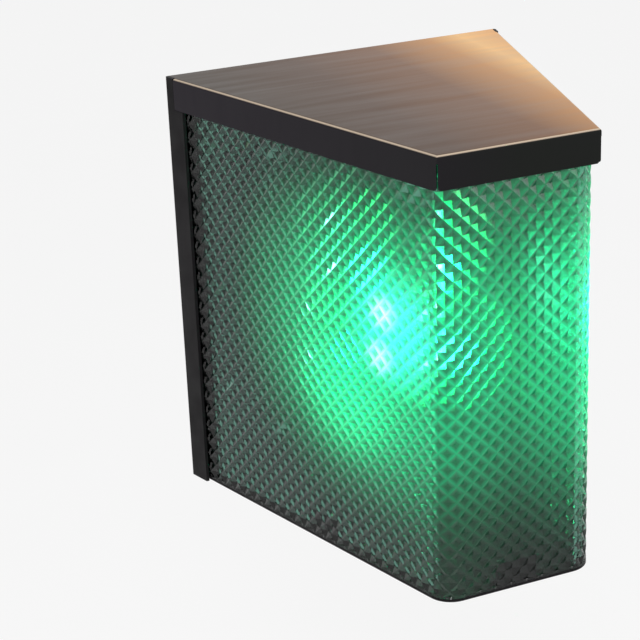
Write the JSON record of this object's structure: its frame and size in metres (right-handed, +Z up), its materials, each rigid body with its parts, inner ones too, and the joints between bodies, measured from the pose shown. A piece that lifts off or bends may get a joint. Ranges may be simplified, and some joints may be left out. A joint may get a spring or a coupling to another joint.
{
  "type": "traffic signal head",
  "caption": "Wall-mounted wedge-shaped signal head: prismatic acrylic lens under a folded bronze cap, with a green lamp on a bracket; lens and bottom plate draw down for service.",
  "frame": {"origin": "centre of the four wall screws, on the wall plane", "axes": "+Z up, +Y into the wall, the head projects along -Y"},
  "size_m": [0.1514, 0.156, 0.1838],
  "materials": {
    "bronze": "satin bronze",
    "steel": "zinc plated",
    "rivet": "bare",
    "acrylic": "clear prismatic acrylic",
    "foam": "closed-cell foam",
    "galvanised": "galvanised",
    "sink": "extruded",
    "board": "white solder mask",
    "ceramic": "matt",
    "emitter": "lit green-white silicone dome",
    "reflector": "green tinted satin",
    "driver": "moulded",
    "terminal": "moulded",
    "brass": "plain",
    "rubber": "moulded",
    "wire_brown": "insulated wire",
    "wire_blue": "insulated wire",
    "wire_green": "insulated wire",
    "wire_red": "insulated wire",
    "wire_black": "insulated wire"
  },
  "bodies": {
    "head": {"back_tray": "bronze", "cap": "bronze", "cap_studs": "steel", "cap_nuts": "steel", "cap_seal": "foam", "lens_guides": "bronze", "guide_rivets": "rivet", "plate_nuts": "steel", "lamp_bracket": "galvanised", "bracket_screws": "steel", "heat_sink": "sink", "led_board": "board", "emitter_bases": "ceramic", "emitter_domes": "emitter", "reflector": "reflector", "driver_case": "driver", "driver_screws": "steel", "terminal_block": "terminal", "clamp_screws": "brass", "terminal_screws": "steel", "cable_grommet": "rubber", "earth_stud": "brass", "earth_nuts": "brass", "earth_tag": "steel", "live_wire": "wire_brown", "neutral_wire": "wire_blue", "earth_wire": "wire_green", "lamp_wire_positive": "wire_red", "lamp_wire_negative": "wire_black"},
    "lens_unit": {"lens": "acrylic", "bottom_plate": "bronze", "lens_clips": "steel", "clip_rivets": "rivet", "screw_retainers": "steel"},
    "left_screw": {"thumbscrew_left": "steel"},
    "right_screw": {"thumbscrew_right": "steel"}
  },
  "joints": [
    {"name": "lens_drop", "type": "slide", "parent": "head", "child": "lens_unit", "axis": [0, 0, -1], "range_m": [0, 0.2]},
    {"name": "left_screw_turn", "type": "hinge", "parent": "lens_unit", "child": "left_screw", "pos_m": [-0.04, -0.017, -0.088], "axis": [0, 0, 1], "continuous": true},
    {"name": "right_screw_turn", "type": "hinge", "parent": "lens_unit", "child": "right_screw", "pos_m": [0.04, -0.017, -0.088], "axis": [0, 0, 1], "continuous": true}
  ]
}
